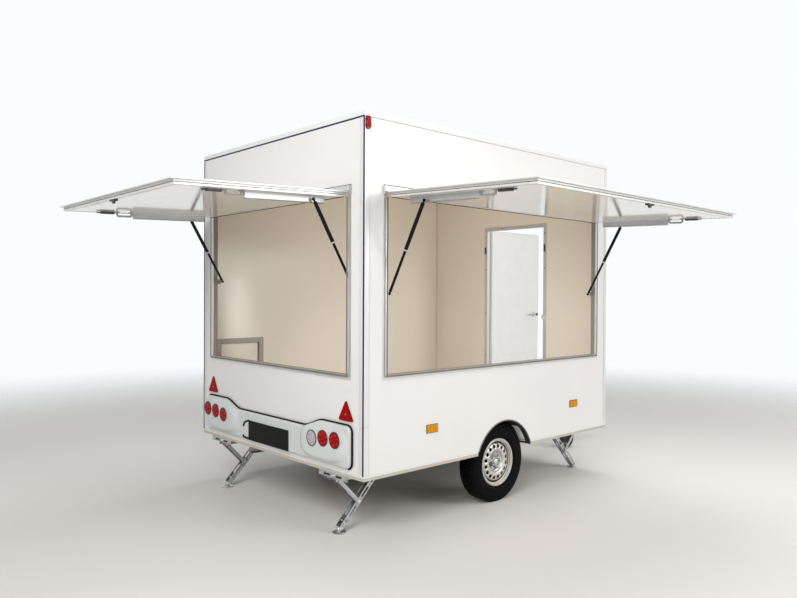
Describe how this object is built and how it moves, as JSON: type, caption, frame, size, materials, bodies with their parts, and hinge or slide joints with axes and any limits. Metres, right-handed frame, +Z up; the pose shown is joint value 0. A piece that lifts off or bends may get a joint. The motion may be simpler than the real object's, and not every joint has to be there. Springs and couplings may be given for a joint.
{
  "type": "food trailer",
  "caption": "Single-axle food trailer with serving flaps on its side and rear, a front door, a low hatch, corner steadies and a jockey wheel.",
  "frame": {"origin": "middle of the footprint on the ground, with flaps and door open and the legs down", "axes": "+X towards the drawbar, +Y to the left-hand side, +Z up"},
  "size_m": [5.2394, 3.2884, 2.7],
  "materials": {
    "white_laminate": "glossy sandwich panel skin",
    "aluminium": "natural anodised profile",
    "floor_board": "coated board",
    "galvanised_steel": "hot-dip galvanised",
    "black_paint": "satin black",
    "black_plastic": "matt",
    "jockey_rubber": "matt",
    "tyre_rubber": "matt",
    "pale_plastic": "moulded",
    "red_lens": "reflector",
    "silver_paint": "wheel silver"
  },
  "bodies": {
    "trailer": {"floor_panel": "floor_board", "right_wall": "white_laminate", "left_wall": "white_laminate", "rear_wall": "white_laminate", "front_wall": "white_laminate", "corner_post_rear_right": "white_laminate", "corner_post_rear_left": "white_laminate", "corner_post_front_right": "white_laminate", "corner_post_front_left": "white_laminate", "roof_edge_frame": "white_laminate", "roof_panel": "white_laminate", "side_opening_frame": "aluminium", "rear_opening_frame": "aluminium", "door_frame": "aluminium", "hatch_frame": "aluminium", "rear_light_panel": "pale_plastic", "number_plate": "black_plastic", "triangle_reflector_right": "red_lens", "triangle_reflector_left": "red_lens", "mudguard_right": "black_plastic", "mudguard_left": "black_plastic", "axle": "galvanised_steel", "chassis_rail_right": "galvanised_steel", "chassis_rail_left": "galvanised_steel", "rear_cross_member": "galvanised_steel", "front_cross_member": "galvanised_steel", "coupling": "galvanised_steel", "jockey_clamp": "galvanised_steel"},
    "side_flap": {"side_flap_panel": "white_laminate", "side_flap_edge_frame": "aluminium"},
    "side_strut_tube_a": {"side_flap_strut_tube_a": "black_paint"},
    "side_strut_rod_a": {"side_flap_strut_rod_a": "black_paint"},
    "side_strut_tube_b": {"side_flap_strut_tube_b": "black_paint"},
    "side_strut_rod_b": {"side_flap_strut_rod_b": "black_paint"},
    "rear_flap": {"rear_flap_panel": "white_laminate", "rear_flap_edge_frame": "aluminium"},
    "rear_strut_tube_a": {"rear_flap_strut_tube_a": "black_paint"},
    "rear_strut_rod_a": {"rear_flap_strut_rod_a": "black_paint"},
    "rear_strut_tube_b": {"rear_flap_strut_tube_b": "black_paint"},
    "rear_strut_rod_b": {"rear_flap_strut_rod_b": "black_paint"},
    "door": {"door_leaf": "white_laminate"},
    "hatch": {"hatch_leaf": "white_laminate"},
    "wheel_right": {"tyre_right": "tyre_rubber", "rim_right": "silver_paint"},
    "wheel_left": {"tyre_left": "tyre_rubber", "rim_left": "silver_paint"},
    "arm_rear_right": {"steady_arm_rear_right": "galvanised_steel"},
    "leg_rear_right": {"steady_leg_rear_right": "galvanised_steel"},
    "arm_rear_left": {"steady_arm_rear_left": "galvanised_steel"},
    "leg_rear_left": {"steady_leg_rear_left": "galvanised_steel"},
    "arm_front_right": {"steady_arm_front_right": "galvanised_steel"},
    "leg_front_right": {"steady_leg_front_right": "galvanised_steel"},
    "arm_front_left": {"steady_arm_front_left": "galvanised_steel"},
    "leg_front_left": {"steady_leg_front_left": "galvanised_steel"},
    "jockey_tube": {"jockey_inner_tube": "galvanised_steel"},
    "jockey_swivel": {"jockey_fork": "galvanised_steel"},
    "jockey_roller": {"jockey_wheel": "jockey_rubber"}
  },
  "joints": [
    {"name": "side_flap_hinge", "type": "hinge", "parent": "trailer", "child": "side_flap", "pos_m": [-0.0603, -0.4748, 2.204], "axis": [1, 0, 0], "range_deg": [0, 88]},
    {"name": "side_strut_a_swing", "type": "hinge", "parent": "side_flap", "child": "side_strut_tube_a", "pos_m": [-1.2003, -0.74255, 2.13461], "axis": [1, 0, 0], "range_deg": [-119.1, 0]},
    {"name": "side_strut_a_slide", "type": "slide", "parent": "side_strut_tube_a", "child": "side_strut_rod_a", "axis": [0, -0.4825, 0.8759], "range_m": [0, 0.2811]},
    {"name": "side_strut_b_swing", "type": "hinge", "parent": "side_flap", "child": "side_strut_tube_b", "pos_m": [1.0797, -0.74255, 2.13461], "axis": [1, 0, 0], "range_deg": [-119.1, 0]},
    {"name": "side_strut_b_slide", "type": "slide", "parent": "side_strut_tube_b", "child": "side_strut_rod_b", "axis": [0, -0.4825, 0.8759], "range_m": [0, 0.2811]},
    {"name": "rear_flap_hinge", "type": "hinge", "parent": "trailer", "child": "rear_flap", "pos_m": [-1.4503, 0.5802, 2.204], "axis": [0, -1, 0], "range_deg": [0, 88]},
    {"name": "rear_strut_a_swing", "type": "hinge", "parent": "rear_flap", "child": "rear_strut_tube_a", "pos_m": [-1.66836, 1.4102, 2.14435], "axis": [0, -1, 0], "range_deg": [-115.9, 0]},
    {"name": "rear_strut_a_slide", "type": "slide", "parent": "rear_strut_tube_a", "child": "rear_strut_rod_a", "axis": [-0.5007, 0, 0.8656], "range_m": [0, 0.2362]},
    {"name": "rear_strut_b_swing", "type": "hinge", "parent": "rear_flap", "child": "rear_strut_tube_b", "pos_m": [-1.66836, -0.2498, 2.14435], "axis": [0, -1, 0], "range_deg": [-115.9, 0]},
    {"name": "rear_strut_b_slide", "type": "slide", "parent": "rear_strut_tube_b", "child": "rear_strut_rod_b", "axis": [-0.5007, 0, 0.8656], "range_m": [0, 0.2362]},
    {"name": "door_hinge", "type": "hinge", "parent": "trailer", "child": "door", "pos_m": [1.3637, 0.9202, 1.4], "axis": [0, 0, 1], "range_deg": [-90, 15]},
    {"name": "hatch_hinge", "type": "hinge", "parent": "trailer", "child": "hatch", "pos_m": [-1.1153, 1.6392, 1.154], "axis": [1, 0, 0], "range_deg": [0, 95]},
    {"name": "wheel_right_spin", "type": "hinge", "parent": "trailer", "child": "wheel_right", "pos_m": [-0.0633, -0.3273, 0.295], "axis": [0, 1, 0], "continuous": true},
    {"name": "wheel_left_spin", "type": "hinge", "parent": "trailer", "child": "wheel_left", "pos_m": [-0.0633, 1.4877, 0.295], "axis": [0, 1, 0], "continuous": true},
    {"name": "steady_rear_right_swing", "type": "hinge", "parent": "trailer", "child": "arm_rear_right", "pos_m": [-1.4103, -0.1548, 0.352], "axis": [0, -1, 0], "range_deg": [0, 38]},
    {"name": "steady_rear_right_knee", "type": "hinge", "parent": "arm_rear_right", "child": "leg_rear_right", "pos_m": [-1.24358, -0.1548, 0.17936], "axis": [0, -1, 0], "range_deg": [-76.5, 0]},
    {"name": "steady_rear_left_swing", "type": "hinge", "parent": "trailer", "child": "arm_rear_left", "pos_m": [-1.4103, 1.3152, 0.352], "axis": [0, -1, 0], "range_deg": [0, 38]},
    {"name": "steady_rear_left_knee", "type": "hinge", "parent": "arm_rear_left", "child": "leg_rear_left", "pos_m": [-1.24358, 1.3152, 0.17936], "axis": [0, -1, 0], "range_deg": [-76.5, 0]},
    {"name": "steady_front_right_swing", "type": "hinge", "parent": "trailer", "child": "arm_front_right", "pos_m": [1.2897, -0.1548, 0.352], "axis": [0, 1, 0], "range_deg": [0, 38]},
    {"name": "steady_front_right_knee", "type": "hinge", "parent": "arm_front_right", "child": "leg_front_right", "pos_m": [1.12298, -0.1548, 0.17936], "axis": [0, 1, 0], "range_deg": [-76.5, 0]},
    {"name": "steady_front_left_swing", "type": "hinge", "parent": "trailer", "child": "arm_front_left", "pos_m": [1.2897, 1.3152, 0.352], "axis": [0, 1, 0], "range_deg": [0, 38]},
    {"name": "steady_front_left_knee", "type": "hinge", "parent": "arm_front_left", "child": "leg_front_left", "pos_m": [1.12298, 1.3152, 0.17936], "axis": [0, 1, 0], "range_deg": [-76.5, 0]},
    {"name": "jockey_lift", "type": "slide", "parent": "trailer", "child": "jockey_tube", "axis": [0, 0, 1], "range_m": [0, 0.09]},
    {"name": "jockey_swivel_turn", "type": "hinge", "parent": "jockey_tube", "child": "jockey_swivel", "pos_m": [1.9597, 0.3479, 0.25], "axis": [0, 0, 1], "continuous": true},
    {"name": "jockey_wheel_spin", "type": "hinge", "parent": "jockey_swivel", "child": "jockey_roller", "pos_m": [1.9147, 0.3479, 0.1], "axis": [0, 1, 0], "continuous": true}
  ],
  "couplings": [
    {"joint": "side_strut_a_swing", "follows": "side_flap_hinge", "ratio": -1.3525},
    {"joint": "side_strut_a_slide", "follows": "side_flap_hinge", "m_per_rad": 0.18298},
    {"joint": "side_strut_b_swing", "follows": "side_flap_hinge", "ratio": -1.3525},
    {"joint": "side_strut_b_slide", "follows": "side_flap_hinge", "m_per_rad": 0.18298},
    {"joint": "rear_strut_a_swing", "follows": "rear_flap_hinge", "ratio": -1.3157},
    {"joint": "rear_strut_a_slide", "follows": "rear_flap_hinge", "m_per_rad": 0.1537},
    {"joint": "rear_strut_b_swing", "follows": "rear_flap_hinge", "ratio": -1.3157},
    {"joint": "rear_strut_b_slide", "follows": "rear_flap_hinge", "m_per_rad": 0.1537},
    {"joint": "steady_rear_right_knee", "follows": "steady_rear_right_swing", "ratio": -2},
    {"joint": "steady_rear_left_knee", "follows": "steady_rear_left_swing", "ratio": -2},
    {"joint": "steady_front_right_knee", "follows": "steady_front_right_swing", "ratio": -2},
    {"joint": "steady_front_left_knee", "follows": "steady_front_left_swing", "ratio": -2}
  ]
}
